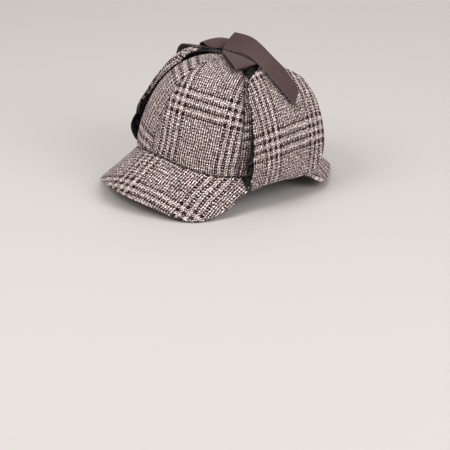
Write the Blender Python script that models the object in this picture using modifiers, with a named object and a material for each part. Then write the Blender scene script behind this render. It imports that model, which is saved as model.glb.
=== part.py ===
"""A checked tweed deerstalker hat, ear flaps tied up, resting on its two brims.

The hat is drawn in its own frame: X is the wearer's left, -Y the front, +Z up, and z = 0 is the
level of the crown's widest ring.  At the end it is tipped back by REST_TILT, leaned by REST_LEAN
and lifted, so that it stands on the front brim's two drooping sides and the back of the rear brim.
Tables hold millimetres and degrees; MM turns them into metres.
"""

import math

import bpy
import numpy as np

MM = 0.001

# ---- crown -----------------------------------------------------------------------------------
CROWN_HALF_LENGTH = 100.0 * MM
CROWN_HALF_WIDTH = 85.7 * MM
CROWN_HEIGHT = 118.0 * MM
CROWN_ROUNDNESS = 2.7       # exponent of the dome's profile: 2 is a ball, more is boxier
CROWN_TAPER = 0.05          # share of its width that the dome loses towards the top
CROWN_WAIST = 0.045         # share that it draws in again at the head opening
WAIST_HEIGHT = 45.0 * MM
CROWN_WALL = 2.2 * MM
SEAM_AZIMUTHS = (0, 64, 118, 180, 242, 296)
SEAM_GAP = 0.35 * MM
BUTTON_RATIO = 0.014        # how near the six gores come to the crown's middle
GORE_COLUMNS = 7
GORE_ROWS = 11
HEM = 0.03                  # share of a gore's half width in the narrow column at each seam
# how high the crown's lower edge lies above the widest ring, by azimuth from the front
EDGE_TABLE = (  # azimuth, height
    (0, 21.0),
    (15, 19.0),
    (30, 15.0),
    (45, 12.0),
    (60, 12.0),
    (75, 14.0),
    (90, 16.0),
    (115, 17.5),
    (150, 18.0),
    (180, 20.0),
)

# ---- brims: cones of straight rulings that fan out from an apex inside the crown --------------
BRIM_WALL = 3.0 * MM
ROOT_GAP = 0.4 * MM
FRONT_APEX = (-48.6 * MM, 70.8 * MM)    # y and z of the apex
FRONT_SPAN = 66.0                       # degrees each side of the middle
FRONT_BOW = 19.3 * MM                   # how much more the sides droop than a plain cone's
FRONT_REACH = (  # azimuth, length; the wearer's right side is bent a little shorter
    (-66, 17.0),
    (-52, 35.0),
    (-36, 51.5),
    (-24, 49.5),
    (-12, 51.0),
    (0, 52.5),
    (18, 53.2),
    (36, 55.0),
    (52, 36.0),
    (66, 17.0),
)
REAR_APEX = (76.5 * MM, 29.1 * MM)
REAR_SPAN = 62.0
REAR_BOW = 35.9 * MM
REAR_REACH = (
    (-62, 10.0),
    (-44, 26.5),
    (-22, 26.5),
    (0, 30.0),
    (22, 26.5),
    (44, 26.5),
    (62, 10.0),
)
BRIM_COLUMNS = 32
BRIM_ROWS = 5

# ---- ear flaps ---------------------------------------------------------------------------------
FLAP_AZIMUTH = 97.0
FLAP_WALL = 2.0 * MM
LINING_WALL = 2.6 * MM
LINING_GAP = 0.5 * MM
LINING_INSET = 1.2 * MM
LINING_FIRST_ROW = 2
FLAP_COLUMNS = 14
FLAP_STEPS = 2              # rows of the mesh for each row of the table
FLAP_TABLE = (
    # height, reach to front, reach to rear, stand-off, more at the edges, front drop, rear rise,
    # how far the lining passes the cloth at the front, flare of the right flap's front edge
    (11.0, 44, 29, 0.6, 2.0, 9.0, 2.0, -1.2, 0.0),
    (11.0, 45, 30, 5.0, 4.5, 9.5, 3.0, -1.2, 2.0),
    (15.0, 48, 42, 6.6, 5.5, 8.5, 3.5, -1.6, 8.0),
    (26.0, 50, 49, 7.2, 6.5, 6.0, 2.0, -1.2, 13.5),
    (42.0, 50, 51, 7.5, 6.5, 3.0, 0.0, -0.8, 13.5),
    (58.0, 50, 51, 7.5, 6.0, 0.0, 0.0, -0.8, 8.0),
    (74.0, 49, 50, 7.2, 5.5, 0.0, 0.0, -0.8, 5.0),
    (88.0, 47, 48, 6.8, 4.5, 0.0, 0.0, -0.8, 2.5),
    (98.0, 42, 43, 6.4, 3.5, 0.0, 0.0, -0.8, -0.5),
    (104.0, 32, 33, 6.2, 2.5, 0.0, 0.0, 4.0, -1.0),
    (108.5, 21, 22, 6.0, 1.5, 0.0, 0.0, 11.0, -1.0),
    (112.0, 11, 12, 6.0, 1.0, 0.0, 0.0, 16.0, -1.0),
    (114.0, 4, 4, 6.0, 0.5, 0.0, 0.0, 10.0, -0.5),
)
RIGHT_FLAP_TURN = -2.0      # degrees that the wearer's right flap sits nearer the front

# ---- ribbon bow: each row is a front or lower edge point and a rear or upper one ---------------
RIBBON_WALL = 1.0 * MM
RIBBON_STEPS = 3            # rows of the mesh for each row of a ribbon's table
KNOT_CENTRE = (-21.0, 8.5, 124.6)
KNOT_SIZE = (5.5, 6.5, 5.0)
RIBBON_TABLES = {
    "ribbon_left": (
        (31.0, 0.0, 118.6, 31.0, 10.0, 118.6),
        (10.0, 1.0, 119.2, 10.0, 12.0, 119.2),
        (-13.0, 2.0, 118.7, -13.0, 12.0, 118.7),
    ),
    "ribbon_right": (
        (-36.0, -25.5, 116.0, -42.0, -18.5, 117.2),
        (-29.0, -20.5, 116.8, -36.5, -12.5, 118.0),
        (-20.0, -17.5, 118.0, -28.0, -9.0, 119.2),
        (-10.0, -13.5, 118.8, -17.0, -6.5, 119.2),
    ),
    "bow_loop_front": (
        (-27.0, 0.0, 124.5, -27.0, 10.0, 127.5),
        (-31.0, -7.0, 122.0, -32.0, 9.0, 128.8),
        (-37.0, -11.0, 123.0, -38.0, 7.0, 128.2),
        (-43.0, -14.0, 124.6, -44.0, 4.0, 126.6),
        (-47.5, -14.0, 123.0, -50.0, 4.0, 124.0),
        (-45.0, -14.0, 120.8, -47.0, 6.0, 121.6),
        (-37.0, -10.0, 120.6, -38.0, 9.0, 122.0),
        (-29.0, 2.0, 121.8, -29.0, 10.0, 122.6),
    ),
    "bow_loop_side": (
        (-9.0, -13.5, 119.4, -8.0, -8.0, 119.2),
        (4.0, -24.0, 120.0, 4.0, -7.0, 120.2),
        (20.0, -31.5, 118.2, 20.0, -9.0, 120.3),
        (37.0, -36.0, 114.6, 37.5, -11.0, 118.8),
        (40.8, -36.0, 116.2, 42.0, -11.5, 119.8),
        (37.5, -35.0, 118.0, 38.0, -11.0, 121.2),
        (20.0, -31.5, 122.6, 20.0, -10.5, 122.4),
        (4.0, -24.0, 125.0, 4.0, -10.0, 121.9),
        (-10.0, -14.0, 122.8, -9.0, -9.5, 121.6),
    ),
    "bow_tail_long": (
        (-16.0, -7.5, 121.5, -22.5, 10.5, 137.6),
        (-1.5, -8.0, 123.0, -9.5, 10.5, 138.6),
        (14.0, -9.0, 125.4, 3.0, 10.5, 138.8),
        (23.0, -9.5, 125.4, 13.0, 10.5, 137.2),
        (32.0, -10.0, 124.2, 24.0, 10.5, 133.8),
        (43.0, -10.5, 121.1, 35.0, 11.0, 129.2),
        (51.5, -9.5, 117.3, 43.0, 12.5, 125.0),
        (61.0, -5.3, 110.4, 52.5, 18.5, 117.0),
        (70.0, 1.0, 101.2, 61.0, 23.0, 107.8),
        (75.8, 8.2, 92.6, 66.4, 26.0, 101.2),
        (79.6, 16.0, 84.2, 69.8, 26.2, 96.5),
    ),
    "bow_tail_far": (
        (-43.0, -17.0, 118.6, -43.0, 2.0, 119.2),
        (-48.0, -18.0, 117.8, -49.0, 2.0, 117.4),
        (-54.0, -21.0, 118.0, -56.0, -2.0, 115.6),
        (-60.0, -26.5, 117.8, -63.0, -7.0, 114.6),
        (-64.0, -28.0, 113.8, -68.0, -7.0, 111.0),
        (-66.5, -27.5, 108.5, -72.0, -6.0, 105.5),
        (-72.0, -24.0, 101.0, -78.0, -3.0, 98.0),
        (-80.0, -20.0, 91.0, -86.0, 1.0, 87.0),
    ),
}

# ---- rest --------------------------------------------------------------------------------------
REST_TILT = math.radians(-8.611)     # nose up, about X
REST_LEAN = math.radians(-0.876)     # then about Y
HAT_AT = (6.364 * MM, 5.346 * MM, 14.064 * MM)

# ---- colours: base colour, roughness -----------------------------------------------------------
TWEED = ((0.33, 0.27, 0.25), 0.9)
FLEECE = ((0.015, 0.015, 0.017), 1.0)
RIBBON = ((0.10, 0.065, 0.065), 0.6)
SATIN = ((0.012, 0.012, 0.014), 0.3)


def clear_scene():
    for existing in list(bpy.data.objects):
        bpy.data.objects.remove(existing, do_unlink=True)


def smooth_table(table, column, position):
    """Read one column of a table at any position by a smooth curve through its rows."""
    table = np.array(table, dtype=float)
    keys = table[:, 0]
    values = table[:, column]
    slopes = np.zeros(len(keys))
    slopes[1:-1] = (values[2:] - values[:-2]) / (keys[2:] - keys[:-2])
    position = np.clip(np.asarray(position, dtype=float), keys[0], keys[-1])
    left = np.clip(np.searchsorted(keys, position, side="right") - 1, 0, len(keys) - 2)
    step = keys[left + 1] - keys[left]
    t = (position - keys[left]) / step
    return (
        values[left] * (2 * t**3 - 3 * t**2 + 1)
        + values[left + 1] * (3 * t**2 - 2 * t**3)
        + slopes[left] * step * (t**3 - 2 * t**2 + t)
        + slopes[left + 1] * step * (t**3 - t**2)
    )


def edge_height(azimuth):
    """Height of the crown's lower edge at an azimuth in radians."""
    from_front = np.abs((np.degrees(azimuth) + 180.0) % 360.0 - 180.0)
    return smooth_table(EDGE_TABLE, 1, from_front) * MM


def crown_ratio(height):
    """Width of the crown at a height, as a share of its full width."""
    rise = np.clip(np.maximum(height, 0.0) / CROWN_HEIGHT, 0.0, 1.0)
    waist = CROWN_WAIST * np.clip(1.0 - height / WAIST_HEIGHT, 0.0, 1.5) ** 2
    dome = (1.0 - rise**CROWN_ROUNDNESS) ** (1.0 / CROWN_ROUNDNESS)
    return dome * (1.0 - CROWN_TAPER * rise) * (1.0 - waist)


def crown_ring(azimuth, height):
    ratio = crown_ratio(height)
    x = CROWN_HALF_WIDTH * ratio * np.sin(azimuth)
    y = -CROWN_HALF_LENGTH * ratio * np.cos(azimuth)
    return np.stack(np.broadcast_arrays(x, y, height), axis=-1)


def crown_point(azimuth, height, stand_off=0.0):
    """Point on the crown's outer face, or a stand-off outside it along its normal."""
    step = 0.01 * MM
    turn = 0.001
    inside = np.clip(height, -1.0, CROWN_HEIGHT - 2 * step)
    across = crown_ring(azimuth + turn, inside) - crown_ring(azimuth - turn, inside)
    up = crown_ring(azimuth, inside + step) - crown_ring(azimuth, inside - step)
    normal = np.cross(across, up)
    normal /= np.linalg.norm(normal, axis=-1, keepdims=True)
    return crown_ring(azimuth, height) + normal * np.asarray(stand_off)[..., None]


def material(name, finish):
    colour, roughness = finish
    made = bpy.data.materials.new(name)
    made.use_nodes = True
    shader = made.node_tree.nodes["Principled BSDF"]
    shader.inputs["Base Color"].default_value = (*colour, 1.0)
    shader.inputs["Roughness"].default_value = roughness
    shader.inputs["Metallic"].default_value = 0.0
    return made


def sheet(name, grid, wall, finish, collection, parent, side=-1.0):
    """Cloth sheet through a grid of points, given its wall thickness by Solidify."""
    rows, columns = grid.shape[:2]
    faces = [
        (r * columns + c, r * columns + c + 1, (r + 1) * columns + c + 1, (r + 1) * columns + c)
        for r in range(rows - 1)
        for c in range(columns - 1)
    ]
    mesh = bpy.data.meshes.new(name)
    mesh.from_pydata(grid.reshape(-1, 3).tolist(), [], faces)
    mesh.shade_smooth()
    mesh.set_sharp_from_angle(angle=math.radians(50))
    made = bpy.data.objects.new(name, mesh)
    made.data.materials.append(material(name, finish))
    collection.objects.link(made)
    made.parent = parent
    solidify = made.modifiers.new("wall", "SOLIDIFY")
    solidify.thickness = wall
    solidify.offset = side
    solidify.use_even_offset = True
    return made


def gore_grid(start, end):
    """Points of one crown gore between two seams, from the lower edge to the button."""
    inner = np.linspace(0.0, 1.0, GORE_COLUMNS + 1)
    across = np.sort(np.append(inner, (HEM / 2, 1.0 - HEM / 2)))[None, :]
    azimuth = math.radians(start) + across * math.radians(end - start)
    top_angle = math.acos(BUTTON_RATIO ** (CROWN_ROUNDNESS / 2))
    low_angle = np.arcsin((edge_height(azimuth) / CROWN_HEIGHT) ** (CROWN_ROUNDNESS / 2))
    rise = np.linspace(0.0, 1.0, GORE_ROWS + 1)[:, None]
    angle = low_angle + (top_angle - low_angle) * rise
    height = CROWN_HEIGHT * np.sin(angle) ** (2 / CROWN_ROUNDNESS)
    radius = CROWN_HALF_LENGTH * crown_ratio(height)
    half_turn = math.radians(end - start) / 2
    squeeze = 1.0 - SEAM_GAP / 2 / np.maximum(radius * half_turn, SEAM_GAP)
    middle = math.radians(start + end) / 2
    return crown_point(middle + (azimuth - middle) * squeeze, height)


def brim_grid(middle, span, apex, bow, reach_table):
    """Points of a brim: rows run out along the rulings from the crown's lower edge."""
    turn = np.linspace(-span, span, BRIM_COLUMNS + 1)
    azimuth = np.radians(middle + turn)
    root = crown_point(azimuth, edge_height(azimuth) - ROOT_GAP)
    ruling = root - np.array((0.0, apex[0], apex[1]))
    ruling[:, 2] -= bow * (turn / 60.0) ** 2
    ruling /= np.linalg.norm(ruling, axis=1, keepdims=True)
    reach = smooth_table(reach_table, 1, turn) * MM
    out = np.linspace(0.0, 1.0, BRIM_ROWS + 1)[:, None, None]
    return (root + ruling * reach[:, None] * out)[::-1]


def flap_grid(side, first_row=0):
    """Points of an ear flap's face, or with a first row given of its lining before it is sunk.

    side is +1 on the wearer's left and -1 on the right.
    """
    last = len(FLAP_TABLE) - 1
    count = (last - first_row) * FLAP_STEPS + 1
    row = np.linspace(first_row, last, count)
    numbered = [(index, *values) for index, values in enumerate(FLAP_TABLE)]
    height, front, rear, off, bow, drop, rise, past, flare = (
        smooth_table(numbered, column, row)[:, None] * MM for column in range(1, 10)
    )
    across = np.linspace(-1.0, 1.0, FLAP_COLUMNS + 1)[None, :]
    ahead = across < 0.0
    cloth = np.where(ahead, front, rear)
    reach = cloth + np.where(ahead, past, -LINING_INSET) * (first_row > 0)
    share = np.clip(across * reach / cloth, -1.0, 1.0)
    level = height + np.where(ahead, -drop, rise) * share**2
    radius = CROWN_HALF_LENGTH * crown_ratio(level) + off
    turn = RIGHT_FLAP_TURN if side < 0 else 0.0
    azimuth = math.radians(FLAP_AZIMUTH + turn) + across * reach / radius
    more = bow + np.where(ahead & (side < 0), flare, 0.0)
    grid = crown_point(azimuth, level, off + more * share**2)
    if side < 0:
        grid[..., 0] *= -1.0
        grid = grid[:, ::-1]
    return grid


def sunk(grid, depth):
    """The same sheet moved inwards along its own normals."""
    normal = np.cross(np.gradient(grid, axis=1), np.gradient(grid, axis=0))
    normal /= np.linalg.norm(normal, axis=-1, keepdims=True)
    return grid - normal * depth


def ribbon_grid(table):
    """Points of a ribbon, three across, along a smooth curve through its table's rows."""
    numbered = [(index, *values) for index, values in enumerate(table)]
    count = (len(table) - 1) * RIBBON_STEPS + 1
    row = np.linspace(0.0, len(table) - 1.0, count)
    edges = np.stack([smooth_table(numbered, column, row) for column in range(1, 7)], axis=-1)
    front = edges[:, :3] * MM
    rear = edges[:, 3:] * MM
    return np.stack((front, (front + rear) / 2, rear), axis=1)


def knot(name, finish, collection, parent):
    """The bow's knot, a small wrapped lump."""
    bpy.ops.mesh.primitive_uv_sphere_add(segments=14, ring_count=8, radius=1.0)
    made = bpy.context.object
    made.name = name
    for vertex in made.data.vertices:
        for axis in range(3):
            vertex.co[axis] *= KNOT_SIZE[axis] * MM
    made.data.shade_smooth()
    made.data.materials.append(material(name, finish))
    for holder in list(made.users_collection):
        holder.objects.unlink(made)
    collection.objects.link(made)
    made.parent = parent
    made.location = [value * MM for value in KNOT_CENTRE]


def build():
    clear_scene()
    parts = bpy.data.collections.new("deerstalker_hat")
    bpy.context.scene.collection.children.link(parts)
    hat = bpy.data.objects.new("hat", None)
    hat.rotation_euler = (REST_TILT, REST_LEAN, 0.0)
    hat.location = HAT_AT
    parts.objects.link(hat)

    gores = ("front_left", "side_left", "rear_left", "rear_right", "side_right", "front_right")
    for index, place in enumerate(gores):
        start = SEAM_AZIMUTHS[index]
        end = SEAM_AZIMUTHS[(index + 1) % 6] or 360
        sheet("gore_" + place, gore_grid(start, end), CROWN_WALL, TWEED, parts, hat)

    front = brim_grid(0.0, FRONT_SPAN, FRONT_APEX, FRONT_BOW, FRONT_REACH)
    sheet("front_brim", front, BRIM_WALL, TWEED, parts, hat)
    rear = brim_grid(180.0, REAR_SPAN, REAR_APEX, REAR_BOW, REAR_REACH)
    sheet("rear_brim", rear, BRIM_WALL, TWEED, parts, hat)

    for side, name in ((1, "left"), (-1, "right")):
        sheet("ear_flap_" + name, flap_grid(side), FLAP_WALL, TWEED, parts, hat)
        lining = sunk(flap_grid(side, LINING_FIRST_ROW), FLAP_WALL + LINING_GAP)
        sheet("flap_lining_" + name, lining, LINING_WALL, FLEECE, parts, hat)

    knot("bow_knot", RIBBON, parts, hat)
    for name, table in RIBBON_TABLES.items():
        finish = SATIN if name == "ribbon_right" else RIBBON
        sheet(name, ribbon_grid(table), RIBBON_WALL, finish, parts, hat, side=0.0)


build()
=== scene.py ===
# %% [markdown]
# # A checked tweed deerstalker
#
# The hat is a crown of six cloth gores, a stiffened peak in front and a smaller one behind, and
# two ear flaps that are folded up and tied over the crown with a ribbon bow.  The solids of every
# piece come first, as a fixed frame.  Each cell after that makes one piece or one finish, a little
# finer than the solid it stands for, and always in the same place.

# %% The solids, and the box that the hat has to keep to
import math

import bpy
import numpy as np
from mathutils import Euler, Matrix, Vector, noise


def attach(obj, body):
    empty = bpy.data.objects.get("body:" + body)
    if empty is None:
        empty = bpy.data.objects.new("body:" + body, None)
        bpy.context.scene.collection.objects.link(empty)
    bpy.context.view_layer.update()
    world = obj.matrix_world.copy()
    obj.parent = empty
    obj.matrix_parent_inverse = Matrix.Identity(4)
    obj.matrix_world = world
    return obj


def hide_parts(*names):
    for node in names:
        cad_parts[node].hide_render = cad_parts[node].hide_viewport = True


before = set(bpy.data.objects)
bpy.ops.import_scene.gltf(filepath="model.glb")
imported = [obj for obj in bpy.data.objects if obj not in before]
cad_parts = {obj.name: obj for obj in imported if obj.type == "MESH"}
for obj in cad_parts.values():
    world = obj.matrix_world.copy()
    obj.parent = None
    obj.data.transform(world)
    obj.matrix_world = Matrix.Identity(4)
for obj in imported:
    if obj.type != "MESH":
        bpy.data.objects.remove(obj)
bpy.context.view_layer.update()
print("solids:", len(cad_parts))

# %% [markdown]
# ## The hat's own frame
#
# A hat is easiest to draw standing straight: X to the wearer's left, -Y to the front, and z = 0 at
# the widest ring of the crown.  On the table it lies tipped back, so every point is worked out in
# the straight frame and moved at the end by one matrix.

# %% From the straight frame to the table
MM = 0.001
REST_TILT = math.radians(-8.611)
REST_LEAN = math.radians(-0.876)
HAT_AT = Vector((6.364, 5.346, 14.064)) * MM
to_table = Matrix.Translation(HAT_AT) @ Euler((REST_TILT, REST_LEAN, 0.0)).to_matrix().to_4x4()


def on_table(points):
    turn = np.array(to_table.to_3x3())
    return np.asarray(points) @ turn.T + np.array(to_table.translation)


print("the crown's middle is at", [round(v, 4) for v in to_table.translation])

# %% [markdown]
# ## Reading shapes from short tables
#
# A pattern maker keeps a few measures and lets a curve run through them.  `smooth_table` does the
# same: it reads one column of a table anywhere between its rows, along a smooth curve.

# %% A smooth curve through a table's rows
def smooth_table(table, column, position):
    table = np.array(table, dtype=float)
    keys = table[:, 0]
    values = table[:, column]
    slopes = np.zeros(len(keys))
    slopes[1:-1] = (values[2:] - values[:-2]) / (keys[2:] - keys[:-2])
    position = np.clip(np.asarray(position, dtype=float), keys[0], keys[-1])
    left = np.clip(np.searchsorted(keys, position, side="right") - 1, 0, len(keys) - 2)
    step = keys[left + 1] - keys[left]
    t = (position - keys[left]) / step
    return (
        values[left] * (2 * t**3 - 3 * t**2 + 1)
        + values[left + 1] * (3 * t**2 - 2 * t**3)
        + slopes[left] * step * (t**3 - 2 * t**2 + t)
        + slopes[left + 1] * step * (t**3 - t**2)
    )


print("halfway between 0 and 10, a smooth curve reads", smooth_table(((0, 0), (1, 10)), 1, 0.5))

# %% [markdown]
# ## The crown's shape
#
# The crown is an oval dome, a little boxier than a ball and drawn in slightly at the head opening.
# Its lower edge is higher at the front and back, where the peaks are sewn on.  The crown's width
# and the heights of that edge follow fits to its outline and seams in the photograph, rounded.

# %% The crown as a formula
CROWN_HALF_LENGTH = 100.0 * MM
CROWN_HALF_WIDTH = 85.7 * MM
CROWN_HEIGHT = 118.0 * MM
CROWN_ROUNDNESS = 2.7
CROWN_TAPER = 0.05
CROWN_WAIST = 0.045
WAIST_HEIGHT = 45.0 * MM
EDGE_TABLE = (  # azimuth from the front, height of the crown's lower edge
    (0, 21.0),
    (15, 19.0),
    (30, 15.0),
    (45, 12.0),
    (60, 12.0),
    (75, 14.0),
    (90, 16.0),
    (115, 17.5),
    (150, 18.0),
    (180, 20.0),
)


def edge_height(azimuth):
    from_front = np.abs((np.degrees(azimuth) + 180.0) % 360.0 - 180.0)
    return smooth_table(EDGE_TABLE, 1, from_front) * MM


def crown_ratio(height):
    rise = np.clip(np.maximum(height, 0.0) / CROWN_HEIGHT, 0.0, 1.0)
    waist = CROWN_WAIST * np.clip(1.0 - height / WAIST_HEIGHT, 0.0, 1.5) ** 2
    dome = (1.0 - rise**CROWN_ROUNDNESS) ** (1.0 / CROWN_ROUNDNESS)
    return dome * (1.0 - CROWN_TAPER * rise) * (1.0 - waist)


def crown_ring(azimuth, height):
    ratio = crown_ratio(height)
    x = CROWN_HALF_WIDTH * ratio * np.sin(azimuth)
    y = -CROWN_HALF_LENGTH * ratio * np.cos(azimuth)
    return np.stack(np.broadcast_arrays(x, y, height), axis=-1)


def crown_point(azimuth, height, stand_off=0.0):
    """A point on the crown's face, or a stand-off outside it along its normal."""
    step = 0.01 * MM
    turn = 0.001
    inside = np.clip(height, -1.0, CROWN_HEIGHT - 2 * step)
    across = crown_ring(azimuth + turn, inside) - crown_ring(azimuth - turn, inside)
    up = crown_ring(azimuth, inside + step) - crown_ring(azimuth, inside - step)
    normal = np.cross(across, up)
    normal /= np.linalg.norm(normal, axis=-1, keepdims=True)
    return crown_ring(azimuth, height) + normal * np.asarray(stand_off)[..., None]


print("crown height above its widest ring:", CROWN_HEIGHT / MM, "mm")

# %% [markdown]
# ## Cloth with a cut and a wall
#
# Real cloth is cut flat and keeps its weave straight, so each sheet carries two sets of points:
# where it lies on the hat, and where it lay on the cutting table. Solidify gives the wall and Bevel
# rounds its edges.
#
# Bevel never rounds more than its narrowest face allows.  Pieces that run to a fine point would get
# nothing but slivers from it, so they keep a plain cut edge.

# %% Turn a grid of points into a sheet of cloth
ROUNDING = 0.45
ROUNDING_STEPS = 3
SHARP_FROM = math.radians(50)


def grid_faces(rows, columns):
    return [
        (r * columns + c, r * columns + c + 1, (r + 1) * columns + c + 1, (r + 1) * columns + c)
        for r in range(rows - 1)
        for c in range(columns - 1)
    ]


def normals_of(grid):
    normal = np.cross(np.gradient(grid, axis=1), np.gradient(grid, axis=0))
    return normal / np.linalg.norm(normal, axis=-1, keepdims=True)


def new_mesh(name, points, faces, flat, finish):
    """A mesh object on the table, with its cutting-table points as a UV map."""
    mesh = bpy.data.meshes.new(name)
    mesh.from_pydata(on_table(points).tolist(), [], faces)
    cut = mesh.uv_layers.new(name="cut")
    corners = np.zeros(len(mesh.loops), dtype=np.int32)
    mesh.loops.foreach_get("vertex_index", corners)
    cut.data.foreach_set("uv", np.asarray(flat, dtype=np.float32)[corners].ravel())
    mesh.shade_smooth()
    mesh.materials.append(finish)
    made = bpy.data.objects.new(name, mesh)
    bpy.context.scene.collection.objects.link(made)
    return made


def sheet_of_cloth(name, grid, flat, wall, finish, side=-1.0, edge=ROUNDING, painted_shade=None):
    """A sheet with a wall to its inner side (-1), both sides (0) or its outer side (1).

    edge is the rounding as a share of the wall, and 0 leaves the cut edge as it is.
    """
    rows, columns = grid.shape[:2]
    faces = grid_faces(rows, columns)
    made = new_mesh(name, grid.reshape(-1, 3), faces, flat.reshape(-1, 2), finish)
    # Painted shade: how much darker the tweed is painted at each point.
    if painted_shade is not None:
        shade = made.data.attributes.new("painted_shade", "FLOAT", "POINT")
        shade.data.foreach_set("value", np.asarray(painted_shade, dtype=np.float32).ravel())
    solidify = made.modifiers.new("wall", "SOLIDIFY")
    solidify.thickness = wall
    solidify.offset = side
    solidify.use_even_offset = True
    if edge > 0.0:
        bevel = made.modifiers.new("rounded edge", "BEVEL")
        bevel.width = wall * edge
        bevel.segments = ROUNDING_STEPS
        bevel.limit_method = "ANGLE"
        bevel.angle_limit = SHARP_FROM
    return made


def stands_for(piece, node):
    """The piece rides on the hat and hides its solid."""
    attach(piece, "root")
    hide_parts(node)
    return piece


print("a rounded edge takes", ROUNDING, "of the wall, in", ROUNDING_STEPS, "steps")

# %% [markdown]
# ## Nodes in few words
#
# A check is arithmetic on thread numbers, and that takes many small Math nodes.  A few helpers keep
# the recipes readable: they add a node, a Math node or a mix of two colours, and one starts a
# material with its plain values on the shader itself.

# %% Helpers for the materials
def feed(tree, value, socket):
    if isinstance(value, bpy.types.NodeSocket):
        tree.links.new(value, socket)
    else:
        socket.default_value = value


def add_node(tree, kind, inputs=None, **settings):
    made = tree.nodes.new("ShaderNode" + kind)
    for key, value in settings.items():
        setattr(made, key, value)
    for key, value in (inputs or {}).items():
        feed(tree, value, made.inputs[key])
    return made


def maths(tree, operation, *values):
    made = tree.nodes.new("ShaderNodeMath")
    made.operation = operation
    for index, value in enumerate(values):
        feed(tree, value, made.inputs[index])
    return made.outputs[0]


def mix_colours(tree, share, first, second, blend="MIX"):
    made = add_node(tree, "Mix", data_type="RGBA", blend_type=blend)
    feed(tree, share, made.inputs[0])
    feed(tree, first, made.inputs[6])
    feed(tree, second, made.inputs[7])
    return made.outputs[2]


def new_finish(name, roughness, sheen=0.0, sheen_tint=(1, 1, 1), specular=0.5):
    """A material with its plain values set on the shader itself."""
    made = bpy.data.materials.new(name)
    made.use_nodes = True
    shader = made.node_tree.nodes["Principled BSDF"]
    shader.inputs["Roughness"].default_value = roughness
    shader.inputs["Sheen Weight"].default_value = sheen
    shader.inputs["Sheen Tint"].default_value = (*sheen_tint, 1.0)
    shader.inputs["Specular IOR Level"].default_value = specular
    return made, made.node_tree, shader


print("materials before the first recipe:", len(bpy.data.materials))

# %% [markdown]
# ## The tweed
#
# A glen check is woven, not printed.  Warp and weft carry the same order of dark and light: a broad
# band of seven stripes, six threads each, and then a wide stretch of two dark and two light.  The
# cloth is a two-over-two twill, and where bands cross, the star-shaped check appears by itself.  So
# the material asks, at each point, which thread lies on top and whether that thread is dark.
#
# Tweed yarn is never even.  White noise, read once for each visible stitch, gives every stitch its
# own tone and lets some carry flecks of the dark.  A finer noise clots the wool inside a stitch,
# and together they are the grain of the cloth.  Two slower noises pull the threads out of line.

# %% Threads of the check
WARP_PITCH = 0.613 * MM
WEFT_PITCH = 0.75 * MM
STRIPE_THREADS = 6
BAND_THREADS = 42
REPEAT_THREADS = 112
SLOW_PULL = 1.3 * MM
SLOW_SCALE = 55.0
QUICK_PULL = 1.4 * MM
QUICK_SCALE = 380.0
FLECKS = 0.6
FLECKS_FROM = 0.25
ENDS_DIP = -0.7
STITCH_TONE = (1.2, 0.5)  # how much the noise adds, and what a stitch has without it
GRAIN_TONE = (0.95, 0.98)
GRAIN_SCALE = 900.0
FIBRE_TONE = (0.2, -0.13)
FIBRE_SCALE = 2600.0
SEAM_SHADE = -0.85
LIGHT_WOOL = (0.84, 0.70, 0.675, 1.0)
DARK_WOOL = (0.030, 0.010, 0.008, 1.0)


def either(tree, share, one, other):
    """one where share is 1, other where it is 0."""
    first = maths(tree, "MULTIPLY", share, one)
    second = maths(tree, "MULTIPLY", maths(tree, "SUBTRACT", 1.0, share), other)
    return maths(tree, "ADD", first, second)


def is_dark(tree, thread):
    """1 where a thread of this number is dark, else 0.  Thread 0 is the middle of a broad band."""
    counted = maths(tree, "ADD", thread, BAND_THREADS / 2)
    place = maths(tree, "FLOORED_MODULO", counted, float(REPEAT_THREADS))
    in_band = maths(tree, "LESS_THAN", place, float(BAND_THREADS))
    broad = maths(tree, "FLOORED_MODULO", place, 2.0 * STRIPE_THREADS)
    broad = maths(tree, "LESS_THAN", broad, float(STRIPE_THREADS))
    fine = maths(tree, "FLOORED_MODULO", maths(tree, "SUBTRACT", place, float(BAND_THREADS)), 4.0)
    fine = maths(tree, "GREATER_THAN", fine, 1.5)
    return either(tree, in_band, broad, fine)


def noise_for(tree, across, along, seed):
    """White noise from 0 to 1, one value for each whole pair of numbers."""
    spot = add_node(tree, "CombineXYZ", {0: across, 1: along, 2: seed})
    return add_node(tree, "TexWhiteNoise", {"Vector": spot.outputs[0]}).outputs[0]


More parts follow.
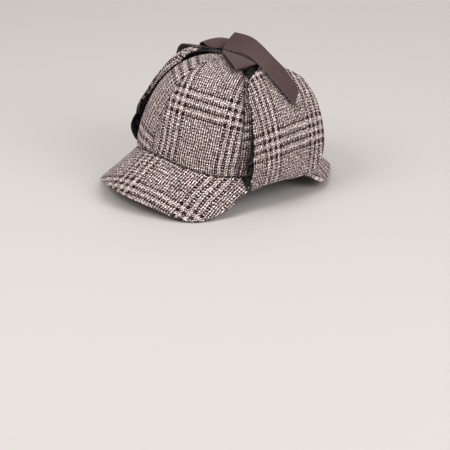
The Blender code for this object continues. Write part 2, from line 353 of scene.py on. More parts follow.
def make_tweed():
    finish, tree, shader = new_finish("checked tweed", 0.95, 0.05, (0.9, 0.8, 0.78), 0.05)
    cut = add_node(tree, "UVMap", uv_map="cut").outputs[0]
    waver = add_node(tree, "TexNoise", {"Vector": cut, "Scale": SLOW_SCALE, "Detail": 1.0})
    waver = add_node(tree, "SeparateColor", {0: waver.outputs[1]})
    place = add_node(tree, "SeparateXYZ", {0: cut})
    uneven = add_node(tree, "TexNoise", {"Vector": cut, "Scale": QUICK_SCALE, "Detail": 1.0})
    uneven = add_node(tree, "SeparateColor", {0: uneven.outputs[1]})
    pulled = []
    for k in (0, 1):
        shift = maths(tree, "SUBTRACT", waver.outputs[k], 0.5)
        shift = maths(tree, "MULTIPLY", shift, SLOW_PULL)
        small = maths(tree, "SUBTRACT", uneven.outputs[k], 0.5)
        small = maths(tree, "MULTIPLY", small, QUICK_PULL)
        shift = maths(tree, "ADD", shift, small)
        pulled.append(maths(tree, "ADD", shift, place.outputs[k]))
    ends = maths(tree, "DIVIDE", pulled[0], WARP_PITCH)
    picks = maths(tree, "DIVIDE", pulled[1], WEFT_PITCH)
    end = maths(tree, "FLOOR", ends)
    pick = maths(tree, "FLOOR", picks)
    step = maths(tree, "ADD", maths(tree, "SUBTRACT", end, pick), 2.0)
    warp_up = maths(tree, "LESS_THAN", maths(tree, "FLOORED_MODULO", step, 4.0), 2.0)
    dark = either(tree, warp_up, is_dark(tree, end), is_dark(tree, pick))
    # One float is one visible stitch, and each float takes a tone and a fleck of its own.
    thread = either(tree, warp_up, end, pick)
    stitch = maths(tree, "FLOOR", maths(tree, "DIVIDE", step, 4.0))
    fleck = maths(tree, "SUBTRACT", noise_for(tree, thread, stitch, warp_up), FLECKS_FROM)
    dark = maths(tree, "MULTIPLY_ADD", fleck, FLECKS, dark)
    dark = add_node(tree, "Clamp", {0: dark}).outputs[0]
    stitch_tone = noise_for(tree, thread, stitch, maths(tree, "ADD", warp_up, 5.0))
    across = either(tree, warp_up, maths(tree, "FRACT", ends), maths(tree, "FRACT", picks))
    off_middle = maths(tree, "SUBTRACT", maths(tree, "MULTIPLY", across, 2.0), 1.0)
    rounded = maths(tree, "SUBTRACT", 1.0, maths(tree, "MULTIPLY", off_middle, off_middle))
    # The stitch also dips under at both ends, where it gets painted shade, and those dips line up
    # as the twill's diagonals.
    down = maths(tree, "ADD", maths(tree, "SUBTRACT", step, maths(tree, "FRACT", picks)), 1.0)
    over = maths(tree, "ADD", maths(tree, "ADD", step, maths(tree, "FRACT", ends)), 2.0)
    along = maths(tree, "FLOORED_MODULO", either(tree, warp_up, down, over), 4.0)
    off_middle = maths(tree, "SUBTRACT", along, 1.0)
    ends_dip = maths(tree, "POWER", maths(tree, "ABSOLUTE", off_middle), 3.0)
    rounded = maths(tree, "MULTIPLY", rounded, maths(tree, "MULTIPLY_ADD", ends_dip, ENDS_DIP, 1.0))
    grain = add_node(tree, "TexNoise", {"Vector": cut, "Scale": GRAIN_SCALE, "Detail": 2.0})
    grain = add_node(tree, "MapRange", {0: grain.outputs[0], 1: 0.38, 2: 0.62, 3: -1.0, 4: 1.0})
    fibres = add_node(tree, "TexNoise", {"Vector": cut, "Scale": FIBRE_SCALE, "Detail": 2.0})
    # Painted shade: each stitch is painted darker towards its sides and at its dipping ends.
    tone = maths(tree, "MULTIPLY_ADD", rounded, 0.5, 0.5)
    tone = maths(tree, "MULTIPLY", tone, maths(tree, "MULTIPLY_ADD", stitch_tone, *STITCH_TONE))
    tone = maths(tree, "MULTIPLY", tone, maths(tree, "MULTIPLY_ADD", grain.outputs[0], *GRAIN_TONE))
    tone = maths(tree, "ADD", tone, FIBRE_TONE[1])
    tone = maths(tree, "MULTIPLY_ADD", fibres.outputs[0], FIBRE_TONE[0], tone)
    # Painted shade, read per point: darker along seams, at the peaks' roots and on the right flap's
    # hem.
    painted_shade = add_node(tree, "Attribute", attribute_name="painted_shade").outputs["Fac"]
    tone = maths(tree, "MULTIPLY", tone, maths(tree, "MULTIPLY_ADD", painted_shade, SEAM_SHADE, 1.0))
    shade = add_node(tree, "CombineColor", {0: tone, 1: tone, 2: tone}).outputs[0]
    colour = mix_colours(tree, dark, LIGHT_WOOL, DARK_WOOL)
    colour = mix_colours(tree, 1.0, colour, shade, "MULTIPLY")
    tree.links.new(colour, shader.inputs["Base Color"])
    height = maths(tree, "MULTIPLY_ADD", fibres.outputs[0], 0.6, rounded)
    bump = add_node(tree, "Bump", {"Height": height, "Strength": 0.5, "Distance": 0.2 * MM})
    tree.links.new(bump.outputs[0], shader.inputs["Normal"])
    return finish


tweed = make_tweed()
WARP_REPEAT = WARP_PITCH * REPEAT_THREADS
WEFT_REPEAT = WEFT_PITCH * REPEAT_THREADS
print("the check repeats every", round(WARP_REPEAT / MM, 1), "mm across and",
      round(WEFT_REPEAT / MM, 1), "mm along")

# %% [markdown]
# ## The ribbon, the satin and the fleece
#
# The bow is a ribbed ribbon: fine ribs run across it, and its edges are woven a little tighter.
# The band over the far flap is black satin, which is smooth one way and shiny.  The fleece is a
# deep matte pile, with painted shade near black down in it and painted light, greyer, on the tips
# of its curls.

# %% Ribbon, satin and fleece
RIB_PITCH = 0.7 * MM
RIBBON_WIDTH = 25.0 * MM
PLUM_BROWN = (0.078, 0.045, 0.043, 1.0)
PALE_EDGE = (0.15, 0.105, 0.10, 1.0)
SELVEDGE = 0.7 * MM
CLOUD_SCALE = 170.0
CLOUD_TONE = (0.7, 0.62)
RIB_TONE = 0.10
SATIN_STREAKS = (900.0, 60.0, 1.0)
SATIN_DARK = (0.004, 0.004, 0.005, 1.0)
SATIN_LIGHT = (0.011, 0.011, 0.014, 1.0)
TUFT_SCALE = 600.0
CURL_SCALE = 420.0
# Painted shade deep in the pile and painted light on its tips.
PILE_IN_SHADE = (0.002, 0.002, 0.002, 1.0)
PILE_TIPS_LIT = (0.10, 0.095, 0.093, 1.0)


def make_ribbon():
    finish, tree, shader = new_finish("ribbed brown ribbon", 0.6, 0.06, (0.8, 0.65, 0.62), 0.2)
    cut = add_node(tree, "UVMap", uv_map="cut").outputs[0]
    place = add_node(tree, "SeparateXYZ", {0: cut})
    rib = maths(tree, "SINE", maths(tree, "MULTIPLY", place.outputs[1], math.tau / RIB_PITCH))
    middle = maths(tree, "SUBTRACT", place.outputs[0], RIBBON_WIDTH / 2)
    to_edge = maths(tree, "SUBTRACT", RIBBON_WIDTH / 2, maths(tree, "ABSOLUTE", middle))
    selvedge = maths(tree, "LESS_THAN", to_edge, SELVEDGE)
    cloudy = add_node(tree, "TexNoise", {"Vector": cut, "Scale": CLOUD_SCALE, "Detail": 4.0})
    tone = maths(tree, "MULTIPLY_ADD", cloudy.outputs[0], *CLOUD_TONE)
    tone = maths(tree, "MULTIPLY_ADD", rib, RIB_TONE, tone)
    shade = add_node(tree, "CombineColor", {0: tone, 1: tone, 2: tone}).outputs[0]
    edge_share = maths(tree, "MULTIPLY", selvedge, 0.5)
    colour = mix_colours(tree, edge_share, PLUM_BROWN, PALE_EDGE)
    colour = mix_colours(tree, 1.0, colour, shade, "MULTIPLY")
    tree.links.new(colour, shader.inputs["Base Color"])
    bump = add_node(tree, "Bump", {"Height": rib, "Strength": 0.5, "Distance": 0.08 * MM})
    tree.links.new(bump.outputs[0], shader.inputs["Normal"])
    return finish


def make_satin():
    finish, tree, shader = new_finish("black satin", 0.3, 0.0, (1, 1, 1), 0.18)
    shader.inputs["Anisotropic"].default_value = 0.4
    cut = add_node(tree, "UVMap", uv_map="cut").outputs[0]
    long_way = add_node(tree, "Mapping", {"Vector": cut, "Scale": SATIN_STREAKS})
    streaks = add_node(tree, "TexNoise", {"Vector": long_way.outputs[0], "Scale": 1.0})
    colour = mix_colours(tree, streaks.outputs[0], SATIN_DARK, SATIN_LIGHT)
    tree.links.new(colour, shader.inputs["Base Color"])
    bump = add_node(
        tree, "Bump", {"Height": streaks.outputs[0], "Strength": 0.4, "Distance": 0.2 * MM}
    )
    tree.links.new(bump.outputs[0], shader.inputs["Normal"])
    return finish


def make_fleece():
    finish, tree, shader = new_finish("black fleece", 1.0, 0.05, (0.5, 0.5, 0.55), 0.03)
    place = add_node(tree, "TexCoord").outputs["Object"]
    tufts = add_node(tree, "TexVoronoi", {"Vector": place, "Scale": TUFT_SCALE})
    curls = add_node(tree, "TexNoise", {"Vector": place, "Scale": CURL_SCALE, "Detail": 4.0})
    curls = add_node(tree, "MapRange", {0: curls.outputs[0], 1: 0.42, 2: 0.68}).outputs[0]
    pile = maths(tree, "MULTIPLY", tufts.outputs["Distance"], curls)
    # Painted light and shade: pale where the pile stands highest, near black where it is lowest.
    colour = mix_colours(tree, pile, PILE_IN_SHADE, PILE_TIPS_LIT)
    tree.links.new(colour, shader.inputs["Base Color"])
    bump = add_node(tree, "Bump", {"Height": pile, "Strength": 1.0, "Distance": 0.8 * MM})
    tree.links.new(bump.outputs[0], shader.inputs["Normal"])
    return finish


ribbon = make_ribbon()
satin = make_satin()
fleece = make_fleece()
print("finishes:", ", ".join(made.name for made in (tweed, ribbon, satin, fleece)))

# %% [markdown]
# ## How the check lies on a curved piece
#
# Laid on a dome, threads that were parallel stay nearly the same distance apart, and the weft
# crosses them like the great circles of a globe.  Two angles measured from the piece's middle line
# give that.  Then the cloth is eased: a tailor stretches and shrinks tweed over the block, so the
# broad bands are not quite parallel any more.  A short table for each piece says where the middles
# of two neighbouring bands run at a few heights, and where the nearest band of the weft crosses.

# %% Flat points for a piece that lies on the crown
def dome_flat(points, middle_azimuth):
    """Flat points in metres of a piece whose middle warp thread lies at an azimuth."""
    scale = np.array((CROWN_HALF_WIDTH, CROWN_HALF_LENGTH, CROWN_HEIGHT))
    ball = np.asarray(points) / scale
    outward = np.array((math.sin(middle_azimuth), -math.cos(middle_azimuth), 0.0))
    sideways = np.array((math.cos(middle_azimuth), math.sin(middle_azimuth), 0.0))
    lift = np.arctan2(ball[..., 2], ball @ outward)
    turn = np.arctan2(ball @ sideways, np.hypot(ball @ outward, ball[..., 2]))
    heights = np.concatenate((np.linspace(-60.0, 117.0, 178), (117.6, 117.9))) * MM
    line = crown_ring(np.full(heights.shape, middle_azimuth), heights)
    steps = np.linalg.norm(np.diff(line, axis=0), axis=1)
    length = np.concatenate(((0.0,), np.cumsum(steps)))
    length -= np.interp(0.0, heights, length)
    angle = np.arctan2(heights / CROWN_HEIGHT, np.linalg.norm(line[:, :2] / scale[:2], axis=1))
    up = np.interp(lift, angle, length)
    radius = np.interp(lift, angle, np.linalg.norm(line, axis=1))
    return np.stack((turn * radius, up), axis=-1)


side_point = crown_ring(math.radians(90), np.array(40.0 * MM))
print("40 mm up the side is", np.round(dome_flat(side_point, math.radians(90)) / MM, 1), "mm flat")

# %% Where the bands of the check run
# Most rows of the left front gore are stripe positions measured in the photograph, laid flat on
# the piece.  The other seen pieces follow such positions too, and some were moved.
EVEN_BANDS = ((0, -20.0, 48.7), (130, -20.0, 48.7))
BANDS = {  # height on the piece, middle of one band, middle of the next, in mm
    "gore_front_left": (
        (23, -29.9, 39.0),
        (38, -28.7, 40.7),
        (53, -29.9, 42.0),
        (68, -31.6, 42.8),
        (80, -33.1, 43.3),
        (91, -34.6, 43.6),
        (130, -38.5, 44.5),
    ),
    "gore_front_right": ((0, -40.0, 28.7), (130, -40.0, 28.7)),
    "ear_flap_left": ((16, -19.9, 29.4), (67, -27.3, 32.2), (99, -31.1, 34.5)),
    "front_brim": ((-60, -0.4, 82.8), (0, 3.2, 77.1)),
    "rear_brim": ((-60, -25.0, 43.7), (0, -25.0, 43.7)),
}
CROWDING = {"gore_front_left": 0.054, "ear_flap_left": -0.06}
WEFT_BANDS = {  # height of a band, where that is, bow, slope, width of two stripes at and above it
    "gore_front_left": (79.7, 16.8, 0.003, 0.0, 9.25, 9.25),
    "gore_front_right": (29.0, 0.0, 0.0, 0.0, 9.6, 9.6),
    "ear_flap_left": (44.8, -31.0, 0.0, 0.20, 8.6, 8.6),
    "front_brim": (-40.8, 45.0, 0.0, 0.12, 7.75, 11.0),
    "rear_brim": (0.5, -53.0, 0.0, 0.12, 10.0, 10.0),
}
EVEN_WEFT = (60.0, 0.0, 0.0, 0.0, 9.0, 9.0)
HALF_BAND = 16.0


def lay_check(name, flat):
    """The flat points, eased so that the bands run where the tables say."""
    across, up = flat[..., 0] / MM, flat[..., 1] / MM
    bands = BANDS.get(name, EVEN_BANDS)
    band = smooth_table(bands, 1, up)
    share = (across - band) / (smooth_table(bands, 2, up) - band)
    share += CROWDING.get(name, 0.0) * share * (share - 1.0)
    height, middle, bow, slope, stripes, above = WEFT_BANDS.get(name, EVEN_WEFT)
    from_band = up - height - bow * (across - middle) ** 2 - slope * (across - middle)
    beyond = np.maximum(from_band - HALF_BAND, 0.0)
    weft = (from_band - beyond) / stripes + beyond / above
    return np.stack((share * WARP_REPEAT, weft * 2 * STRIPE_THREADS * WEFT_PITCH), axis=-1)


print("pieces with a check of their own:", ", ".join(BANDS))

# %% [markdown]
# ## The crown's gores
#
# Six gores meet at the top.  A sewn seam is a shallow valley: both edges turn in, and the thread
# gathers them into faint puckers.  The valley and puckers are put into the shape itself, along the
# first few millimetres beside each seam, and the rest of the gore gets the soft unevenness of
# cloth that has been handled.

# %% Small unevenness
def waves(points, size, seed):
    """Smooth noise from -1 to 1 at each point, with bumps about size apart."""
    flat = np.asarray(points).reshape(-1, 3) / size + seed * 17.31
    values = [noise.noise(Vector(place)) for place in flat]
    return np.array(values).reshape(np.asarray(points).shape[:-1])


print("one wave value:", round(float(waves([0.01, 0.02, 0.03], 5.0 * MM, 1)), 3))

# %% Make the six gores
SEAM_AZIMUTHS = (0, 64, 118, 180, 242, 296, 360)
SEAM_GAP = 0.06 * MM
CROWN_WALL = 2.2 * MM
BUTTON_RATIO = 0.014
SEAM_VALLEY = 1.1 * MM
SEAM_REACH = 2.2 * MM
PUCKER = 0.25 * MM
PUCKER_SIZE = 5.0 * MM
DENT = 0.45 * MM
DENT_SIZE = 42.0 * MM
EDGE_CROWDING = 0.12
GORE_COLUMNS = 40
GORE_ROWS = 62
HEM_ROWS = (0.0, 0.004, 0.008, 0.012, 0.018)
# Painted shade along the seams: its reach, its strength at the side seams, and how fast it fades up
# from the lower edge.
SEAM_SHADE_REACH = 1.0 * MM
SIDE_SEAM_SHADE = 0.6
CROWN_HEM_SHADE_FADE = 1.6
GORES = ("front_left", "side_left", "rear_left", "rear_right", "side_right", "front_right")


def gore_points(start, end):
    """Face points of a gore, and how far each lies from the nearer of its sewn sides."""
    span = math.radians(end - start)
    even = np.linspace(-1.0, 1.0, GORE_COLUMNS + 1)
    across = (even + EDGE_CROWDING * np.sin(math.pi * even))[None, :]
    azimuth = math.radians(start) + (across + 1.0) / 2 * span
    top_angle = math.acos(BUTTON_RATIO ** (CROWN_ROUNDNESS / 2))
    low_angle = np.arcsin((edge_height(azimuth) / CROWN_HEIGHT) ** (CROWN_ROUNDNESS / 2))
    rise = np.concatenate((HEM_ROWS, np.linspace(0.025, 1.0, GORE_ROWS)))[:, None]
    angle = low_angle + (top_angle - low_angle) * rise
    height = CROWN_HEIGHT * np.sin(angle) ** (2 / CROWN_ROUNDNESS)
    radius = CROWN_HALF_LENGTH * crown_ratio(height)
    squeeze = 1.0 - SEAM_GAP / 2 / np.maximum(radius * span / 2, SEAM_GAP)
    middle = math.radians(start + end) / 2
    azimuth = middle + (azimuth - middle) * squeeze
    to_seam = radius * (1.0 - np.abs(across)) * span / 2
    return azimuth, height, to_seam, height - height[0]


def make_gore(place, start, end, seed):
    azimuth, height, to_seam, to_hem = gore_points(start, end)
    smooth = crown_point(azimuth, height)
    valley = -SEAM_VALLEY * np.exp(-((np.minimum(to_seam, 2 * to_hem) / SEAM_REACH) ** 2))
    near_seam = np.exp(-to_seam / PUCKER_SIZE)
    pucker = PUCKER * waves(smooth, PUCKER_SIZE, seed) * near_seam
    dents = DENT * waves(smooth, DENT_SIZE, seed + 3) * (1.0 - near_seam)
    face = crown_point(azimuth, height, valley + pucker + dents)
    cut = lay_check("gore_" + place, dome_flat(smooth, math.radians(start + end) / 2))
    # Painted shade: darker along the side seams and along the lower edge, where the cloth turns in.
    painted_seam_shade = SIDE_SEAM_SHADE * np.exp(-((to_seam / SEAM_SHADE_REACH) ** 2))
    painted_seam_shade = np.maximum(painted_seam_shade, np.exp(-((CROWN_HEM_SHADE_FADE * to_hem / SEAM_SHADE_REACH) ** 2)))
    return sheet_of_cloth(
        "gore_" + place + "_cloth", face, cut, CROWN_WALL, tweed, edge=0.0, painted_shade=painted_seam_shade
    )


for seed, place in enumerate(GORES):
    gore = make_gore(place, SEAM_AZIMUTHS[seed], SEAM_AZIMUTHS[seed + 1], seed)
    stands_for(gore, "gore_" + place)
print("gores:", len(GORES), "with", (GORE_ROWS + len(HEM_ROWS)) * (GORE_COLUMNS + 1), "points each")

# %% [markdown]
# ## The two peaks
#
# A peak is one stiff flat piece that is bent where it is sewn to the round crown. Bent card only
# bends one way, so straight lines run out through it from an apex inside the crown. The apexes and
# the droop of the sides are rounded from fits to the peaks' edges in the photograph. The lengths
# started from those fits and were adjusted.
#
# A peak is sewn on a little inside the crown's edge, so its root is tucked under the gores.  No
# light falls through the seam then, and painted shade darkens the cloth along the stitched root.

# %% Points of a peak and of its flat pattern
BRIM_WALL = 3.0 * MM
ROOT_GAP = 0.4 * MM
ROOT_TUCK = 1.5 * MM
ROOT_ROWS = np.array((0.0, 0.5, 0.9, 1.4, 1.9, 2.6)) * MM
FRONT_APEX = (-48.6 * MM, 70.8 * MM)
FRONT_SPAN = 66.0
FRONT_BOW = 19.3 * MM
FRONT_REACH = (  # azimuth, length
    (-66, 17.0),
    (-52, 35.0),
    (-36, 51.5),
    (-24, 49.5),
    (-12, 51.0),
    (0, 52.5),
    (18, 53.2),
    (36, 55.0),
    (52, 36.0),
    (66, 17.0),
)
REAR_APEX = (76.5 * MM, 29.1 * MM)
REAR_SPAN = 62.0
REAR_BOW = 35.9 * MM
REAR_REACH = (
    (-62, 10.0),
    (-44, 26.5),
    (-22, 26.5),
    (0, 30.0),
    (22, 26.5),
    (44, 26.5),
    (62, 10.0),
)
BRIM_COLUMNS = 120
BRIM_ROWS = 24
FIRST_EVEN_ROW = 3.5 * MM
BOW_MEASURED_AT = 60.0


def brim_points(middle, span, apex, bow, reach_table):
    turn = np.linspace(-span, span, BRIM_COLUMNS + 1)
    azimuth = np.radians(middle + turn)
    root = crown_point(azimuth, edge_height(azimuth) - ROOT_GAP)
    ruling = root - np.array((0.0, apex[0], apex[1]))
    ruling[:, 2] -= bow * (turn / BOW_MEASURED_AT) ** 2
    ruling /= np.linalg.norm(ruling, axis=1, keepdims=True)
    reach = smooth_table(reach_table, 1, turn) * MM + ROOT_TUCK
    root -= ruling * ROOT_TUCK
    near = np.repeat(ROOT_ROWS[:, None], len(turn), axis=1)
    far = np.linspace(np.full(len(turn), FIRST_EVEN_ROW), reach, BRIM_ROWS)
    out = np.concatenate((near, far))[..., None]
    return (root + ruling * out)[::-1]


def third_corner(first, second, from_first, from_second, side):
    """The corner of a triangle at two distances from two flat points."""
    base = second - first
    length = np.linalg.norm(base)
    base = base / length
    along = (from_first**2 - from_second**2 + length**2) / (2 * length)
    out = math.sqrt(max(from_first**2 - along**2, 0.0))
    return first + base * along + side * out * np.array((-base[1], base[0]))


def unroll(grid):
    """Flat pattern of a sheet of straight rulings, its middle ruling along +v."""
    outer, root = grid[0], grid[-1]
    columns = grid.shape[1]
    middle = columns // 2
    flat_root = np.zeros((columns, 2))
    flat_outer = np.zeros((columns, 2))
    flat_outer[middle] = (0.0, -np.linalg.norm(outer[middle] - root[middle]))
    for step in (1, -1):
        last = middle
        for column in range(middle + step, columns if step > 0 else -1, step):
            across = np.linalg.norm(root[column] - root[last])
            slant = np.linalg.norm(root[column] - outer[last])
            ends = flat_outer[last], flat_root[last]
            flat_root[column] = third_corner(*ends, slant, across, -step)
            ends = flat_outer[last], flat_root[column]
            across = np.linalg.norm(outer[column] - outer[last])
            reach = np.linalg.norm(outer[column] - root[column])
            flat_outer[column] = third_corner(*ends, across, reach, -step)
            last = column
    share = np.linalg.norm(grid - outer, axis=-1) / np.linalg.norm(root - outer, axis=-1)
    return flat_outer * (1.0 - share[..., None]) + flat_root * share[..., None]


print("a peak has", BRIM_ROWS + len(ROOT_ROWS), "rows of", BRIM_COLUMNS + 1, "points")

# %% Make the peaks
PEAK_WAVE = 0.3 * MM
PEAK_WAVE_SIZE = 30.0 * MM
PEAK_WAVE_SEED = 9
ROOT_SHADE_FULL = 0.9 * MM


def make_peak(name, grid):
    cut = lay_check(name, unroll(grid) + np.array((0.0, ROOT_TUCK)))
    uneven = PEAK_WAVE * waves(grid, PEAK_WAVE_SIZE, PEAK_WAVE_SEED)
    face = grid + normals_of(grid) * uneven[..., None]
    from_root = np.linalg.norm(grid - grid[-1], axis=-1)
    # Painted shade: a dark band along the root, where the peak meets the crown.
    painted_seam_shade = np.exp(-((np.maximum(from_root - ROOT_SHADE_FULL, 0.0) / SEAM_SHADE_REACH) ** 2))
    peak = sheet_of_cloth(name + "_cloth", face, cut, BRIM_WALL, tweed, painted_shade=painted_seam_shade)
    return stands_for(peak, name)


front = brim_points(0.0, FRONT_SPAN, FRONT_APEX, FRONT_BOW, FRONT_REACH)
make_peak("front_brim", front)
rear = brim_points(180.0, REAR_SPAN, REAR_APEX, REAR_BOW, REAR_REACH)
make_peak("rear_brim", rear)
middle = BRIM_COLUMNS // 2
reach = float(np.linalg.norm(front[0, middle] - front[-1, middle]))
print("front peak reaches", round(reach / MM), "mm, its tuck included")

# %% [markdown]
# ## The ear flaps
#
# Each flap starts under the crown's edge, turns up over it and narrows to a tip that the ribbon
# pulls towards the top.  Its table is read row by row: how high the row lies, how far it reaches
# to the front and the rear, and how far it stands off the crown, more so along its edges.
#
# No two flaps of a worn hat hang alike, so three short tables hold what only one of them does: how
# far the left one shows its fleece, which partly stands as a dark sheet over the shaded gap before
# it, how its rear corner curls up, and how the front edge of the right one lifts, rolls in and lets
# the fleece spring out.

# %% Points of a flap
FLAP_AZIMUTH = 97.0
FLAP_WALL = 2.0 * MM
LINING_GAP = 0.5 * MM
LINING_INSET = 1.2 * MM
LINING_FIRST_ROW = 2
RIGHT_FLAP_TURN = -2.0
FLAP_TABLE = (
    # height, reach to front, reach to rear, stand-off, more at the edges, front drop, rear rise,
    # how far the lining passes the cloth at the front, flare of the right flap's front edge
    (11.0, 44, 29, 0.6, 2.0, 9.0, 2.0, -1.2, 0.0),
    (11.0, 45, 30, 5.0, 4.5, 9.5, 3.0, -1.2, 2.0),
    (15.0, 48, 42, 6.6, 5.5, 8.5, 3.5, -1.6, 8.0),
    (26.0, 50, 49, 7.2, 6.5, 6.0, 2.0, -1.2, 13.5),
    (42.0, 50, 51, 7.5, 6.5, 3.0, 0.0, -0.8, 13.5),
    (58.0, 50, 51, 7.5, 6.0, 0.0, 0.0, -0.8, 8.0),
    (74.0, 49, 50, 7.2, 5.5, 0.0, 0.0, -0.8, 5.0),
    (88.0, 47, 48, 6.8, 4.5, 0.0, 0.0, -0.8, 2.5),
    (98.0, 42, 43, 6.4, 3.5, 0.0, 0.0, -0.8, -0.5),
    (104.0, 32, 33, 6.2, 2.5, 0.0, 0.0, 4.0, -1.0),
    (108.5, 21, 22, 6.0, 1.5, 0.0, 0.0, 11.0, -1.0),
    (112.0, 11, 12, 6.0, 1.0, 0.0, 0.0, 16.0, -1.0),
    (114.0, 4, 4, 6.0, 0.5, 0.0, 0.0, 10.0, -0.5),
)
# Partly painted shade: the fleece is pushed out past the cloth, a dark sheet also over the shaded
# gap before it.
FLEECE_PEEK_INTO_SHADE = (  # height, how much further the left flap's fleece shows ahead of its cloth
    (11, 2.5),
    (15, 4.0),
    (26, 6.5),
    (42, 4.8),
    (58, 1.4),
    (74, -0.4),
    (88, -0.4),
    (114, 0.0),
)
REAR_CORNER = (  # height, how much more the left flap's rear lower corner rises
    (11, 1.0),
    (15, 6.0),
    (26, 5.0),
    (42, 2.0),
    (58, 0.0),
    (114, 0.0),
)
FAR_EDGE = (  # height, then for the right flap's front edge: lift, depth of the rolled hem, how
    # far the cloth draws back, how far the fleece passes it, how far the fleece springs out
    (11, 0.0, 0.0, 3.0, 3.0, 1.5),
    (15, 0.0, 0.0, 5.0, 6.0, 3.0),
    (26, 0.0, 0.0, 6.0, 7.5, 3.5),
    (34, -1.0, 0.0, 4.0, 4.5, 2.0),
    (42, -2.0, 3.5, 1.0, -2.0, 0.0),
    (58, -3.0, 5.5, 0.0, -3.0, 0.0),
    (74, -3.0, 6.0, 0.0, -3.0, 0.0),
    (88, -1.5, 7.5, 0.0, -3.0, 0.0),
    (98, 2.5, 11.0, 0.0, -3.0, 0.0),
    (104, 5.0, 10.5, 0.0, -2.0, 0.0),
    (108.5, 3.2, 6.0, 0.0, 3.0, 0.0),
    (112, 0.5, 2.0, 0.0, 12.0, 0.0),
    (114, 0.0, 0.0, 0.0, 10.0, 0.0),
)
FLAP_COLUMNS = 72
FLAP_STEPS = 8


def flap_points(side, first_row=0):
    """Points of a flap's face, or with a first row given of its lining before it is sunk."""
    last = len(FLAP_TABLE) - 1
    row = np.linspace(first_row, last, (last - first_row) * FLAP_STEPS + 1)
    numbered = [(index, *values) for index, values in enumerate(FLAP_TABLE)]
    height, front, rear, off, bow, drop, rise, past, flare = (
        smooth_table(numbered, column, row)[:, None] * MM for column in range(1, 10)
    )
    across = np.linspace(-1.0, 1.0, FLAP_COLUMNS + 1)[None, :]
    ahead = across < 0.0
    cloth = np.where(ahead, front, rear)
    lift = 0.0
    if side > 0:
        past = past + smooth_table(FLEECE_PEEK_INTO_SHADE, 1, height / MM) * MM
        rise = rise + smooth_table(REAR_CORNER, 1, height / MM) * MM
    else:
        lift, draw, past, spring = (
            smooth_table(FAR_EDGE, column, height / MM) * MM for column in (1, 3, 4, 5)
        )
        cloth = cloth - np.where(ahead, draw, 0.0)
        lift = lift + spring * (first_row > 0)
    reach = cloth + np.where(ahead, past, -LINING_INSET) * (first_row > 0)
    share = np.clip(across * reach / cloth, -1.0, 1.0)
    level = height + np.where(ahead, -drop, rise) * share**2
    radius = CROWN_HALF_LENGTH * crown_ratio(level) + off
    turn = RIGHT_FLAP_TURN if side < 0 else 0.0
    azimuth = math.radians(FLAP_AZIMUTH + turn) + across * reach / radius
    more = bow + np.where(ahead & (side < 0), flare, 0.0)
    stand_off = off + more * share**2 + np.where(ahead, lift, 0.0) * share**6
    grid = crown_point(azimuth, level, stand_off)
    if side < 0:
        grid[..., 0] *= -1.0
        grid = grid[:, ::-1]
    return grid


print("a flap has", (len(FLAP_TABLE) - 1) * FLAP_STEPS + 1, "rows of", FLAP_COLUMNS + 1, "points")

# %% The rolled hem of the right flap's front edge
HEM_STEPS = 6
HEM_ROLL = 1.5 * MM
HEM_FULL_ROLL_AT = 4.0 * MM
HEM_LEAST = 0.4
# Painted shade on the lower part of the right flap's rolled hem and a few columns beside it.
PAINTED_HEM_SHADE = 0.75
HEM_SHADE_BELOW = 85.0
HEM_SHADE_FADE = 35.0
HEM_SHADE_COLUMNS = 3


def with_hem(grid, cut):
    """The sheet with some columns more, which turn its last edge in towards the crown."""
    row = np.linspace(0.0, len(FLAP_TABLE) - 1.0, grid.shape[0])
    heights = smooth_table([(k, values[0]) for k, values in enumerate(FLAP_TABLE)], 1, row)
    depth = np.maximum(smooth_table(FAR_EDGE, 2, heights), HEM_LEAST)[:, None] * MM
    inward = -normals_of(grid)[:, -1]
    ahead = grid[:, -1] - grid[:, -2]
    ahead /= np.linalg.norm(ahead, axis=1, keepdims=True)
    flat_ahead = cut[:, -1] - cut[:, -2]
    flat_ahead /= np.linalg.norm(flat_ahead, axis=1, keepdims=True)
    roll = HEM_ROLL * np.minimum(depth / HEM_FULL_ROLL_AT, 1.0)
    turned, laid = [grid], [cut]
    for share in np.linspace(0.0, 1.0, HEM_STEPS + 1)[1:]:
        bulge = ahead * roll * math.sin(math.pi * share)
        turned.append((grid[:, -1] + inward * depth * share + bulge)[:, None])
        laid.append((cut[:, -1] + flat_ahead * depth * share)[:, None])
    return np.concatenate(turned, axis=1), np.concatenate(laid, axis=1)


print("the hem is rolled in", HEM_STEPS, "steps, and bulges", HEM_ROLL / MM, "mm")

# %% Make the flaps
FLAP_WAVE = 0.35 * MM
FLAP_WAVE_SIZE = 34.0 * MM
FLAP_WAVE_SEED = 20


def make_flap(side, name):
    grid = flap_points(side)
    azimuth = math.radians(FLAP_AZIMUTH + (RIGHT_FLAP_TURN if side < 0 else 0.0)) * side
    cut = lay_check("ear_flap_" + name, dome_flat(grid, azimuth))
    uneven = FLAP_WAVE * waves(grid, FLAP_WAVE_SIZE, FLAP_WAVE_SEED + side)
    face = grid + normals_of(grid) * uneven[..., None]
    # Painted shade: the rolled hem is painted darker low down, fading out above a height.
    hem_shade = np.zeros(face.shape[:2])
    if side < 0:
        face, cut = with_hem(face, cut)
        heights = (face[:, -HEM_STEPS, 2] / MM)[:, None]
        rolled = np.arange(face.shape[1]) >= face.shape[1] - HEM_STEPS - HEM_SHADE_COLUMNS
        hem_shade = PAINTED_HEM_SHADE * np.clip((HEM_SHADE_BELOW - heights) / HEM_SHADE_FADE, 0.0, 1.0) * rolled
    flap = sheet_of_cloth(
        "ear_flap_" + name + "_cloth", face, cut, FLAP_WALL, tweed, edge=0.0, painted_shade=hem_shade
    )
    return stands_for(flap, "ear_flap_" + name)


for side, name in ((1, "left"), (-1, "right")):
    print(make_flap(side, name).name, "is made")

